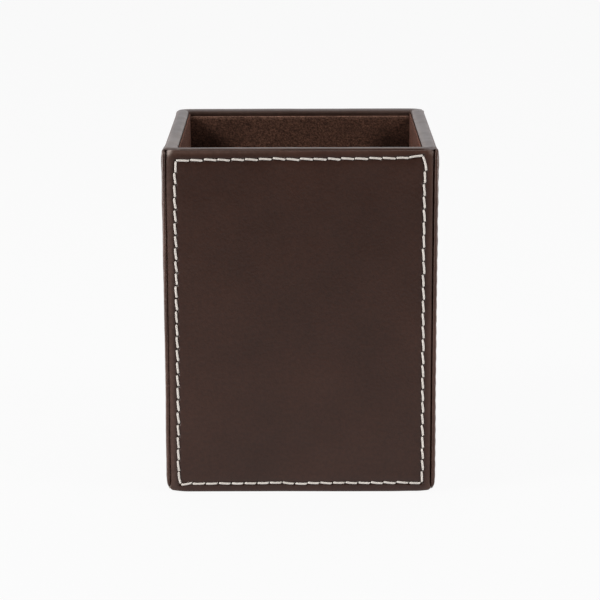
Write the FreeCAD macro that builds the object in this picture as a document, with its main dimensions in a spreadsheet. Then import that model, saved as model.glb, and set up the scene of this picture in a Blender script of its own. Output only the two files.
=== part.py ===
import FreeCAD, Part
import Sketcher
import math
import os

# Desk pen stand: an open square cup of grey board, covered in dark leather,
# faced on its four sides with stitched leather panels and lined with velour.
#
# Millimetres.  +Z is up, the front faces -Y, the origin lies on the table in
# the middle of the footprint.  Every wall is modelled facing -Y and then
# turned about Z into its place by its own Placement.

App = FreeCAD
doc = App.newDocument("pen_stand")

# ---------------------------------------------------------------- dimensions
SIZES = [
    ("overall_width", 80.0),        # across the faces of the side panels
    ("overall_depth", 80.0),        # across the faces of the front and back panels
    ("overall_height", 104.0),      # table to the crest of the rim
    ("pad_thickness", 0.8),         # velour sheet under the base
    ("pad_inset", 2.6),             # pad edge inside the panel faces
    ("pad_corner", 3.0),
    ("cover_thickness", 0.5),       # leather that covers the board box
    ("cover_turn_in", 12.0),        # how far the cover is turned down inside
    ("cover_turn_under", 8.0),      # how far the cover is turned under the base
    ("cover_corner", 0.6),
    ("lip_inset", 0.6),             # outer edge of the rim behind the panel faces
    ("lip_round", 0.24),
    ("board_thickness", 2.2),       # grey board walls and base
    ("panel_thickness", 1.2),       # leather skin, card and turned hem together
    ("skin_thickness", 0.6),        # leather on the face of a panel
    ("skin_edge", 0.6),             # leather round the edge of the card
    ("card_thickness", 0.3),
    ("hem_width", 6.0),             # leather turned behind the card
    ("edge_round", 0.5),            # soft outer edge of a panel
    ("panel_foot", 0.2),            # lower edge of a panel above the table
    ("panel_head_gap", 0.6),        # upper edge of a panel below the crest
    ("corner_top", 0.9),            # outline corners of a panel
    ("corner_bottom", 2.4),
    ("corner_gap", 0.35),           # groove between a front or back panel and a side panel
    ("seam_inset", 2.45),           # stitch line inside the panel's side edge
    ("seam_head", 3.0),             # stitch line below the crest
    ("seam_foot", 2.9),             # stitch line above the table
    ("channel_width", 0.8),         # furrow that the thread is drawn into
    ("channel_depth", 0.35),
    ("thread_diameter", 0.62),
    ("thread_lift", 0.04),          # thread axis outside the panel face
    ("stitches_head", 18.0),        # in the upper row of the front and back panels
    ("stitches_foot", 19.0),        # in their lower row
    ("stitches_upright", 26.0),     # in an upright row
    ("stitches_deeper", 1.0),       # more in the rows across the wider side panels
    ("stitch_gap", 0.45),
    ("stitch_slant", 4.0),          # degrees
    ("lining_thickness", 0.5),      # velour on thin card
    ("lining_drop", 1.6),           # lining edge below the crest
]

sheet = doc.addObject("Spreadsheet::Sheet", "dims")
for row, (alias, value) in enumerate(SIZES, 1):
    sheet.set("A%d" % row, alias)
    sheet.set("B%d" % row, str(value))
    sheet.setAlias("B%d" % row, alias)
doc.recompute()


class Size:
    """A length that knows both its value and the expression that binds it."""

    def __init__(self, text, value):
        self.text, self.value = text, value

    def _join(self, other, sign, op):
        if not isinstance(other, Size):
            other = Size(repr(float(other)) + " mm", float(other))
        return Size("(%s %s %s)" % (self.text, op, other.text),
                    self.value + sign * other.value)

    def __add__(self, other):
        return self._join(other, 1, "+")

    def __sub__(self, other):
        return self._join(other, -1, "-")

    def __mul__(self, factor):
        return Size("(%s * %r)" % (self.text, float(factor)), self.value * factor)

    def __truediv__(self, factor):
        return Size("(%s / %r)" % (self.text, float(factor)), self.value / factor)

    def __neg__(self):
        return Size("(-(%s))" % self.text, -self.value)


def dim(alias):
    return Size("dims.%s * 1 mm" % alias, float(sheet.get(alias)))


# Faces of the layers, from the outside in, as distances from the centre.
half_width = dim("overall_width") / 2
half_depth = dim("overall_depth") / 2
crest = dim("overall_height")
cover_out_x = half_width - dim("panel_thickness")
cover_out_y = half_depth - dim("panel_thickness")
board_out_x = cover_out_x - dim("cover_thickness")
board_out_y = cover_out_y - dim("cover_thickness")
board_in_x = board_out_x - dim("board_thickness")
board_in_y = board_out_y - dim("board_thickness")
rim_in_x = board_in_x - dim("cover_thickness")
rim_in_y = board_in_y - dim("cover_thickness")
lining_in_x = rim_in_x - dim("lining_thickness")
lining_in_y = rim_in_y - dim("lining_thickness")

# Heights.
board_foot = dim("pad_thickness") + dim("cover_thickness")
board_head = crest - dim("cover_thickness")
base_top = board_foot + dim("board_thickness")
floor_top = base_top + dim("lining_thickness")
panel_foot = dim("panel_foot")
panel_head = crest - dim("panel_head_gap")

nodes = []          # the finished sub-parts, in order


# ------------------------------------------------------------------- helpers
def new_body(label):
    body = doc.addObject("PartDesign::Body", label)
    body.Label = label
    nodes.append(body)
    return body


def origin_plane(body, role):
    for feature in body.Origin.OriginFeatures:
        if feature.Role == role:
            return feature
    raise ValueError(role)


def bind(obj, path, size):
    obj.setExpression(path, size.text)


def new_sketch(body, name, role, offset):
    sketch = body.newObject("Sketcher::SketchObject", name)
    sketch.AttachmentSupport = [(origin_plane(body, role), "")]
    sketch.MapMode = "FlatFace"
    sketch.AttachmentOffset = App.Placement(App.Vector(0, 0, offset.value), App.Rotation())
    bind(sketch, "AttachmentOffset.Base.z", offset)
    return sketch


def tie(sketch, key, kind, geometry, point, size):
    """A named distance of a point from the sketch's origin, bound to the sheet."""
    index = sketch.addConstraint(Sketcher.Constraint(kind, -1, 1, geometry, point, size.value))
    sketch.renameConstraint(index, key)
    bind(sketch, "Constraints." + key, size)


def add_rectangle(sketch, prefix, left, right, low, high):
    """Four lines; every side is tied to the origin."""
    a, b, c, d = left.value, right.value, low.value, high.value
    corner = [App.Vector(a, c, 0), App.Vector(b, c, 0), App.Vector(b, d, 0), App.Vector(a, d, 0)]
    g = [sketch.addGeometry(Part.LineSegment(corner[i], corner[(i + 1) % 4]), False)
         for i in range(4)]
    for i in range(4):
        sketch.addConstraint(Sketcher.Constraint("Coincident", g[i], 2, g[(i + 1) % 4], 1))
    sketch.addConstraint(Sketcher.Constraint("Horizontal", g[0]))
    sketch.addConstraint(Sketcher.Constraint("Horizontal", g[2]))
    sketch.addConstraint(Sketcher.Constraint("Vertical", g[1]))
    sketch.addConstraint(Sketcher.Constraint("Vertical", g[3]))
    tie(sketch, prefix + "_left", "DistanceX", g[3], 1, left)
    tie(sketch, prefix + "_right", "DistanceX", g[1], 1, right)
    tie(sketch, prefix + "_low", "DistanceY", g[0], 1, low)
    tie(sketch, prefix + "_high", "DistanceY", g[2], 1, high)


def add_rounded(sketch, prefix, left, right, low, high, round_low, round_high):
    """A rectangle with arcs at its corners, all sides and radii tied."""
    a, b, c, d = left.value, right.value, low.value, high.value
    r, q = round_low.value, round_high.value
    V = App.Vector
    z = V(0, 0, 1)

    def arc(x, y, radius, start):
        circle = Part.Circle(V(x, y, 0), z, radius)
        return Part.ArcOfCircle(circle, start, start + math.pi / 2)

    g = [sketch.addGeometry(item, False) for item in (
        Part.LineSegment(V(a + r, c, 0), V(b - r, c, 0)),
        arc(b - r, c + r, r, -math.pi / 2),
        Part.LineSegment(V(b, c + r, 0), V(b, d - q, 0)),
        arc(b - q, d - q, q, 0.0),
        Part.LineSegment(V(b - q, d, 0), V(a + q, d, 0)),
        arc(a + q, d - q, q, math.pi / 2),
        Part.LineSegment(V(a, d - q, 0), V(a, c + r, 0)),
        arc(a + r, c + r, r, math.pi))]
    for i in range(8):
        sketch.addConstraint(Sketcher.Constraint("Tangent", g[i], 2, g[(i + 1) % 8], 1))
    sketch.addConstraint(Sketcher.Constraint("Horizontal", g[0]))
    sketch.addConstraint(Sketcher.Constraint("Horizontal", g[4]))
    sketch.addConstraint(Sketcher.Constraint("Vertical", g[2]))
    sketch.addConstraint(Sketcher.Constraint("Vertical", g[6]))
    tie(sketch, prefix + "_left", "DistanceX", g[6], 1, left)
    tie(sketch, prefix + "_right", "DistanceX", g[2], 1, right)
    tie(sketch, prefix + "_low", "DistanceY", g[0], 1, low)
    tie(sketch, prefix + "_high", "DistanceY", g[4], 1, high)
    for key, geometry, size in (("_round_a", g[1], round_low), ("_round_b", g[3], round_high),
                                ("_round_c", g[5], round_high), ("_round_d", g[7], round_low)):
        index = sketch.addConstraint(Sketcher.Constraint("Radius", geometry, size.value))
        sketch.renameConstraint(index, prefix + key)
        bind(sketch, "Constraints." + prefix + key, size)


def pad(body, name, sketch, length, reverse=False):
    before = volume(body)
    feature = body.newObject("PartDesign::Pad", name)
    feature.Profile = sketch
    feature.Length = length.value
    bind(feature, "Length", length)
    feature.Reversed = reverse
    doc.recompute()
    if volume(body) <= before:
        raise RuntimeError("%s adds nothing to %s" % (name, body.Label))
    return feature


def pocket(body, name, sketch, length, reverse=False):
    before = volume(body)
    feature = body.newObject("PartDesign::Pocket", name)
    feature.Profile = sketch
    feature.Length = length.value
    bind(feature, "Length", length)
    feature.Reversed = reverse
    doc.recompute()
    if volume(body) >= before:
        raise RuntimeError("%s cuts nothing from %s" % (name, body.Label))
    return feature


def volume(body):
    return 0.0 if body.Tip is None or body.Shape.isNull() else body.Shape.Volume


def soften(body, name, base, radius, chosen):
    """Fillet of the edges of base that the test picks."""
    names = ["Edge%d" % (i + 1) for i, edge in enumerate(base.Shape.Edges) if chosen(edge)]
    if not names:
        raise RuntimeError("no edges for %s" % name)
    feature = body.newObject("PartDesign::Fillet", name)
    feature.Base = (base, names)
    feature.Radius = radius.value
    bind(feature, "Radius", radius)
    doc.recompute()
    return feature


def turned(body, quarter_turns):
    body.Placement = App.Placement(App.Vector(0, 0, 0),
                                   App.Rotation(App.Vector(0, 0, 1), 90.0 * quarter_turns))


# The four walls: name, quarter turns from the front, distance of the panel
# face from the centre, half length of the panel along the wall.
side_span = half_depth
front_span = half_width - dim("panel_thickness") - dim("corner_gap")
WALLS = (
    ("front", 0, half_depth, front_span),
    ("right", 1, half_width, side_span),
    ("back", 2, half_depth, front_span),
    ("left", 3, half_width, side_span),
)

# -------------------------------------------------------------- base and box
# Velour sheet glued under the base.  Its lower face is what the stand rests on.
body = new_body("base_pad")
sketch = new_sketch(body, "pad_outline", "XY_Plane", Size("0 mm", 0.0))
pad_x = half_width - dim("pad_inset")
pad_y = half_depth - dim("pad_inset")
add_rounded(sketch, "pad", -pad_x, pad_x, -pad_y, pad_y, dim("pad_corner"), dim("pad_corner"))
pad(body, "pad_sheet", sketch, dim("pad_thickness"))

# Grey board base, let in between the four walls.
body = new_body("base_board")
sketch = new_sketch(body, "base_outline", "XY_Plane", board_foot)
add_rectangle(sketch, "base", -board_in_x, board_in_x, -board_in_y, board_in_y)
pad(body, "base_sheet", sketch, dim("board_thickness"))

# Grey board walls.  The side walls run the full depth, the front and back
# walls stand between them.
for name, turns, reach, span in WALLS:
    body = new_body(name + "_board")
    side = turns % 2 == 1
    face = board_out_x if side else board_out_y
    half = board_out_y if side else board_in_x
    sketch = new_sketch(body, "wall_outline", "XZ_Plane", face)
    add_rectangle(sketch, "wall", -half, half, board_foot, board_head)
    pad(body, "wall_sheet", sketch, dim("board_thickness"), reverse=True)
    turned(body, turns)

# Leather cover of the box: a sleeve round the walls, a rim over their top
# edges with a small rolled lip outside, a turn-in down the inside of the
# walls and a hem turned under the base.
body = new_body("rim_cover")
zero = Size("0 mm", 0.0)
sketch = new_sketch(body, "sleeve_section", "XY_Plane", dim("pad_thickness"))
add_rounded(sketch, "sleeve_out", -cover_out_x, cover_out_x, -cover_out_y, cover_out_y,
            dim("cover_corner"), dim("cover_corner"))
add_rectangle(sketch, "sleeve_in", -board_out_x, board_out_x, -board_out_y, board_out_y)
pad(body, "sleeve", sketch, board_head - dim("pad_thickness"))

sketch = new_sketch(body, "hem_section", "XY_Plane", dim("pad_thickness"))
hem_x = board_out_x - dim("cover_turn_under")
hem_y = board_out_y - dim("cover_turn_under")
add_rectangle(sketch, "hem_out", -board_out_x, board_out_x, -board_out_y, board_out_y)
add_rectangle(sketch, "hem_in", -hem_x, hem_x, -hem_y, hem_y)
pad(body, "turned_hem", sketch, dim("cover_thickness"))

sketch = new_sketch(body, "rim_section", "XY_Plane", board_head)
lip_x = half_width - dim("lip_inset")
lip_y = half_depth - dim("lip_inset")
add_rounded(sketch, "rim_out", -lip_x, lip_x, -lip_y, lip_y,
            dim("cover_corner") * 2, dim("cover_corner") * 2)
add_rectangle(sketch, "rim_in", -rim_in_x, rim_in_x, -rim_in_y, rim_in_y)
rim = pad(body, "rim", sketch, dim("cover_thickness"))

sketch = new_sketch(body, "turn_in_section", "XY_Plane", board_head - dim("cover_turn_in"))
add_rectangle(sketch, "turn_out", -board_in_x, board_in_x, -board_in_y, board_in_y)
add_rectangle(sketch, "turn_in", -rim_in_x, rim_in_x, -rim_in_y, rim_in_y)
turn_in = pad(body, "turn_in", sketch, dim("cover_turn_in"))

top = crest.value
soften(body, "rim_round", turn_in, dim("lip_round"),
       lambda edge: all(abs(v.Z - top) < 1e-6 for v in edge.Vertexes))

# ------------------------------------------------------------ stitched panels
for name, turns, reach, span in WALLS:
    # Leather skin: face, turned edge and hem, with a furrow for the thread.
    body = new_body(name + "_leather")
    sketch = new_sketch(body, "panel_outline", "XZ_Plane", reach)
    add_rounded(sketch, "panel", -span, span, panel_foot, panel_head,
                dim("corner_bottom"), dim("corner_top"))
    block = pad(body, "panel_block", sketch, dim("panel_thickness"), reverse=True)
    outer = -reach.value
    skin = soften(body, "soft_edge", block, dim("edge_round"),
                  lambda edge: all(abs(v.Y - outer) < 1e-6 for v in edge.Vertexes))

    edge = dim("skin_edge")
    sketch = new_sketch(body, "card_space", "XZ_Plane", reach - dim("skin_thickness"))
    add_rounded(sketch, "card", -(span - edge), span - edge, panel_foot + edge, panel_head - edge,
                dim("corner_bottom") - edge, dim("corner_top") - edge)
    pocket(body, "card_pocket", sketch, dim("card_thickness"))

    hem = dim("hem_width")
    sketch = new_sketch(body, "hem_opening", "XZ_Plane",
                        reach - dim("skin_thickness") - dim("card_thickness"))
    add_rectangle(sketch, "hem", -(span - hem), span - hem, panel_foot + hem, panel_head - hem)
    pocket(body, "hem_pocket", sketch,
           dim("panel_thickness") - dim("skin_thickness") - dim("card_thickness"))

    seam_side = span - dim("seam_inset")
    seam_low = dim("seam_foot")
    seam_high = crest - dim("seam_head")
    wide = dim("channel_width") / 2
    sketch = new_sketch(body, "furrow_outline", "XZ_Plane", reach)
    add_rectangle(sketch, "furrow_out", -(seam_side + wide), seam_side + wide,
                  seam_low - wide, seam_high + wide)
    add_rectangle(sketch, "furrow_in", -(seam_side - wide), seam_side - wide,
                  seam_low + wide, seam_high - wide)
    pocket(body, "furrow", sketch, dim("channel_depth"))
    turned(body, turns)

    # Thin card that the leather is turned round.
    body = new_body(name + "_card")
    sketch = new_sketch(body, "card_outline", "XZ_Plane", reach - dim("skin_thickness"))
    add_rounded(sketch, "card", -(span - edge), span - edge, panel_foot + edge, panel_head - edge,
                dim("corner_bottom") - edge, dim("corner_top") - edge)
    pad(body, "card_sheet", sketch, dim("card_thickness"), reverse=True)
    turned(body, turns)

# Stitching.  Each stitch is a short length of thread with rounded ends that
# lies in the furrow, a little proud of the leather.  The stitches of a row
# share its length evenly and all lean the same way.
thread_radius = dim("thread_diameter").value / 2


def stitch(length):
    """A thread along +X, centred on the origin, with rounded ends."""
    reach_x = length / 2 - thread_radius
    a = App.Vector(-reach_x - thread_radius, 0, 0)
    b = App.Vector(-reach_x, 0, thread_radius)
    c = App.Vector(reach_x, 0, thread_radius)
    d = App.Vector(reach_x + thread_radius, 0, 0)
    bend = thread_radius * math.sqrt(0.5)
    left = Part.Arc(a, App.Vector(-reach_x - bend, 0, bend), b).toShape()
    right = Part.Arc(c, App.Vector(reach_x + bend, 0, bend), d).toShape()
    profile = Part.Face(Part.Wire([left, Part.LineSegment(b, c).toShape(), right,
                                   Part.LineSegment(d, a).toShape()]))
    return profile.revolve(App.Vector(0, 0, 0), App.Vector(1, 0, 0), 360.0)


def seam_row(start, end, depth, count):
    """Separate stitches from start to end, (x, z) points on the panel face."""
    run = math.hypot(end[0] - start[0], end[1] - start[1])
    pitch = run / count
    solid = stitch(pitch - dim("stitch_gap").value)
    along = math.degrees(math.atan2(end[1] - start[1], end[0] - start[0]))
    lean = dim("stitch_slant").value
    made = []
    for i in range(count):
        t = (i + 0.5) / count
        x = start[0] + (end[0] - start[0]) * t
        z = start[1] + (end[1] - start[1]) * t
        piece = solid.copy()
        # In the XZ plane a turn about -Y carries +X towards +Z.
        piece.Placement = App.Placement(App.Vector(x, -depth, z),
                                        App.Rotation(App.Vector(0, -1, 0), along - lean))
        made.append(piece)
    return made


for name, turns, reach, span in WALLS:
    side = (span - dim("seam_inset")).value
    low = dim("seam_foot").value
    high = (crest - dim("seam_head")).value
    depth = reach.value + dim("thread_lift").value
    inner = dim("thread_diameter").value
    wider = int(dim("stitches_deeper").value) if turns % 2 else 0
    across_head = int(dim("stitches_head").value) + wider
    across_foot = int(dim("stitches_foot").value) + wider
    upright = int(dim("stitches_upright").value)
    pieces = []
    pieces += seam_row((-side, high), (side, high), depth, across_head)
    pieces += seam_row((side, high - inner), (side, low + inner), depth, upright)
    pieces += seam_row((side, low), (-side, low), depth, across_foot)
    pieces += seam_row((-side, low + inner), (-side, high - inner), depth, upright)
    feature = doc.addObject("Part::Feature", name + "_stitching")
    feature.Label = name + "_stitching"
    feature.Shape = Part.makeCompound(pieces)
    feature.Placement = App.Placement(App.Vector(0, 0, 0),
                                      App.Rotation(App.Vector(0, 0, 1), 90.0 * turns))
    nodes.append(feature)

# -------------------------------------------------------------------- lining
# Velour on thin card: a floor first, then two side linings the full depth of
# the cup and the front and back linings between them.
body = new_body("floor_lining")
sketch = new_sketch(body, "floor_outline", "XY_Plane", base_top)
add_rectangle(sketch, "floor", -rim_in_x, rim_in_x, -rim_in_y, rim_in_y)
pad(body, "floor_sheet", sketch, dim("lining_thickness"))

for name, turns, reach, span in WALLS:
    body = new_body(name + "_lining")
    side = turns % 2 == 1
    face = rim_in_x if side else rim_in_y
    half = rim_in_y if side else lining_in_x
    sketch = new_sketch(body, "lining_outline", "XZ_Plane", face)
    add_rectangle(sketch, "lining", -half, half, floor_top, crest - dim("lining_drop"))
    pad(body, "lining_sheet", sketch, dim("lining_thickness"), reverse=True)
    turned(body, turns)

# ------------------------------------------------------------ check and write
doc.recompute()
for item in doc.Objects:
    if any(flag in ("Invalid", "Error") for flag in item.State):
        raise RuntimeError("%s did not build: %s" % (item.Label, item.State))
for node in nodes:
    shape = node.Shape
    if shape.isNull() or not shape.isValid() or shape.Volume <= 0:
        raise RuntimeError("%s has no valid shape" % node.Label)

os.makedirs("parts", exist_ok=True)
for node in nodes:
    node.Shape.exportStep("parts/%s.step" % node.Label)
    box = node.Shape.BoundBox
    print("%-16s solids %3d  volume %9.1f  X %7.2f %7.2f  Y %7.2f %7.2f  Z %7.2f %7.2f" % (
        node.Label, len(node.Shape.Solids), node.Shape.Volume,
        box.XMin, box.XMax, box.YMin, box.YMax, box.ZMin, box.ZMax))
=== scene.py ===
import math
import random

import bmesh
import bpy
import numpy as np
from mathutils import Matrix, Vector, geometry, noise


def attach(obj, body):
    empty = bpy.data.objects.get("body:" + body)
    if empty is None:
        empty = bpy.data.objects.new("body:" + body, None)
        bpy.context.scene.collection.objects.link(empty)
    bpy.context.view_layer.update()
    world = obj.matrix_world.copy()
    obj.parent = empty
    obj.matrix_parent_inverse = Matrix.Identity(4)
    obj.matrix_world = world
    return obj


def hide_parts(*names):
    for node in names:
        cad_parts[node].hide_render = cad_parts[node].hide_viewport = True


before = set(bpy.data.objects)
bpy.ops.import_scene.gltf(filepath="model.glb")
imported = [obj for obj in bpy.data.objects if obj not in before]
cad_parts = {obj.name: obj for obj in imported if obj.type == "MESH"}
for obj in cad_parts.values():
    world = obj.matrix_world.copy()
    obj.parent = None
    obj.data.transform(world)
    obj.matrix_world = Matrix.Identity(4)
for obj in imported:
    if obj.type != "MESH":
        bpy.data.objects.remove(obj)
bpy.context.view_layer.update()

MM = 0.001
scene = bpy.context.scene
scene.view_settings.view_transform = "Standard"
scene.view_settings.look = "None"

# ------------------------------------------------------------------- sizes
# All in millimetres, in the frame of the CAD part.
HALF = 40.0            # centre to the faces of the panels
CREST = 104.0          # top of the rim
PANEL_FOOT, PANEL_HEAD = 0.2, 103.4
FRONT_SPAN, SIDE_SPAN = 38.70, 40.0
SLEEVE = 38.8          # outer face of the leather that covers the boards
BOARD_OUT, BOARD_IN = 38.3, 36.1
BOARD_FOOT, BOARD_HEAD = 1.3, 103.5
LINING_BACK, LINING_FACE = 35.55, 35.08
LINING_TOP, LINING_FOOT = 102.45, 4.0

WALLS = (("front", 0), ("right", 1), ("back", 2), ("left", 3))


def smooth(a, b, x):
    t = np.clip((np.asarray(x, float) - a) / (b - a), 0.0, 1.0)
    return t * t * (3.0 - 2.0 * t)


def turned(points, quarter_turns):
    """Turns points about Z by a number of right angles."""
    c, s = ((1, 0), (0, 1), (-1, 0), (0, -1))[quarter_turns % 4]
    p = np.asarray(points, float)
    return np.stack([c * p[:, 0] - s * p[:, 1], s * p[:, 0] + c * p[:, 1], p[:, 2]], 1)


def waves(x, y, seed, size, octaves=2):
    """Smooth noise in about -1..1 over a plane, as an array."""
    out = np.empty(len(x))
    for i, (a, b) in enumerate(zip(x, y)):
        value, gain, k = 0.0, 1.0, 1.0 / size
        for _ in range(octaves):
            value += gain * noise.noise(Vector((a * k + seed * 7.13, b * k - seed * 3.7, seed * 1.9)))
            gain *= 0.5
            k *= 2.1
        out[i] = value
    return out


# ------------------------------------------------------------ mesh building
def ring(left, right, low, high, radii, shares):
    """A closed rounded rectangle as points and outward normals, counter-clockwise from the lower left. radii are
    those of the lower left, lower right, upper right and upper left corners. shares are the places of the points
    along the lower, right, upper and left sides, from 0 to under 1, then the number of points in an arc."""
    bl, br, tr, tl = radii
    arc = shares[4]
    pts, nrm = [], []

    def side(a, b, places, n):
        for t in places:
            pts.append((a[0] + (b[0] - a[0]) * t, a[1] + (b[1] - a[1]) * t))
            nrm.append(n)

    def corner(cx, cz, r, start):
        for i in range(arc):
            t = start + (math.pi / 2) * i / arc
            pts.append((cx + r * math.cos(t), cz + r * math.sin(t)))
            nrm.append((math.cos(t), math.sin(t)))

    side((left + bl, low), (right - br, low), shares[0], (0, -1))
    corner(right - br, low + br, br, -math.pi / 2)
    side((right, low + br), (right, high - tr), shares[1], (1, 0))
    corner(right - tr, high - tr, tr, 0.0)
    side((right - tr, high), (left + tl, high), shares[2], (0, 1))
    corner(left + tl, high - tl, tl, math.pi / 2)
    side((left, high - tl), (left, low + bl), shares[3], (-1, 0))
    corner(left + bl, low + bl, bl, math.pi)
    return np.array(pts), np.array(nrm)


def even(count):
    return [i / count for i in range(count)]


def fill(boundary, spacing, margin):
    """Triangles inside a closed outline, with a grid of inner points. Returns the inner points and the triangles,
    which count the outline's points first."""
    lo, hi = boundary.min(0), boundary.max(0)
    nx = max(2, int(round((hi[0] - lo[0] - 2 * margin) / spacing)))
    nz = max(2, int(round((hi[1] - lo[1] - 2 * margin) / spacing)))
    gx = np.linspace(lo[0] + margin, hi[0] - margin, nx)
    gz = np.linspace(lo[1] + margin, hi[1] - margin, nz)
    inner = [(x, z) for z in gz for x in gx]
    n = len(boundary)
    coords = [Vector((float(x), float(z))) for x, z in boundary] + [Vector(p) for p in inner]
    edges = [(i, (i + 1) % n) for i in range(n)]
    verts, _, faces, origin, _, _ = geometry.delaunay_2d_cdt(coords, edges, [], 1, 1e-7)
    index = [o[0] for o in origin]
    triangles = [[index[i] for i in f] for f in faces]
    return np.array(inner), triangles


def loft(rings, faces, close_first=None, close_last=None):
    """Quads between rings that hold indexes of vertices."""
    for a, b in zip(rings, rings[1:]):
        n = len(a)
        for i in range(n):
            j = (i + 1) % n
            faces.append((a[i], a[j], b[j], b[i]))


def make(name, vertices, faces, material, shade_smooth=True, replaces=(), values=None):
    mesh = bpy.data.meshes.new(name)
    mesh.from_pydata([tuple(float(c) * MM for c in v) for v in vertices], [], faces)
    for key, numbers in (values or {}).items():
        attribute = mesh.attributes.new(key, "FLOAT", "POINT")
        attribute.data.foreach_set("value", np.asarray(numbers, np.float32))
    mesh.validate()
    obj = bpy.data.objects.new(name, mesh)
    scene.collection.objects.link(obj)
    mesh.materials.append(material)
    bm = bmesh.new()
    bm.from_mesh(mesh)
    bmesh.ops.recalc_face_normals(bm, faces=bm.faces)
    bm.to_mesh(mesh)
    bm.free()
    for polygon in mesh.polygons:
        polygon.use_smooth = shade_smooth
    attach(obj, "root")
    if replaces:
        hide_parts(*replaces)
    return obj


# ---------------------------------------------------------------- materials
def new_material(name):
    mat = bpy.data.materials.new(name)
    mat.use_nodes = True
    nodes = mat.node_tree.nodes
    shader = nodes["Principled BSDF"]
    return mat, mat.node_tree, nodes, shader


def node(tree, kind, **values):
    made = tree.nodes.new(kind)
    for key, value in values.items():
        if key.startswith("_"):
            setattr(made, key[1:], value)
        else:
            made.inputs[key.replace("__", " ")].default_value = value
    return made


def ramp(tree, source, stops):
    made = tree.nodes.new("ShaderNodeValToRGB")
    tree.links.new(source, made.inputs["Fac"])
    elements = made.color_ramp.elements
    while len(elements) < len(stops):
        elements.new(0.5)
    for element, (place, colour) in zip(elements, stops):
        element.position = place
        element.color = (*colour, 1.0)
    return made.outputs["Color"]


def mix_colour(tree, factor, a, b, mode="MIX"):
    made = tree.nodes.new("ShaderNodeMix")
    made.data_type = "RGBA"
    made.blend_type = mode
    for socket, value in ((made.inputs["Factor"], factor), (made.inputs["A"], a), (made.inputs["B"], b)):
        if isinstance(value, bpy.types.NodeSocket):
            tree.links.new(value, socket)
        elif isinstance(value, (int, float)):
            socket.default_value = value
        else:
            socket.default_value = (*value, 1.0)
    return [o for o in made.outputs if o.type == "RGBA"][0]


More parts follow.
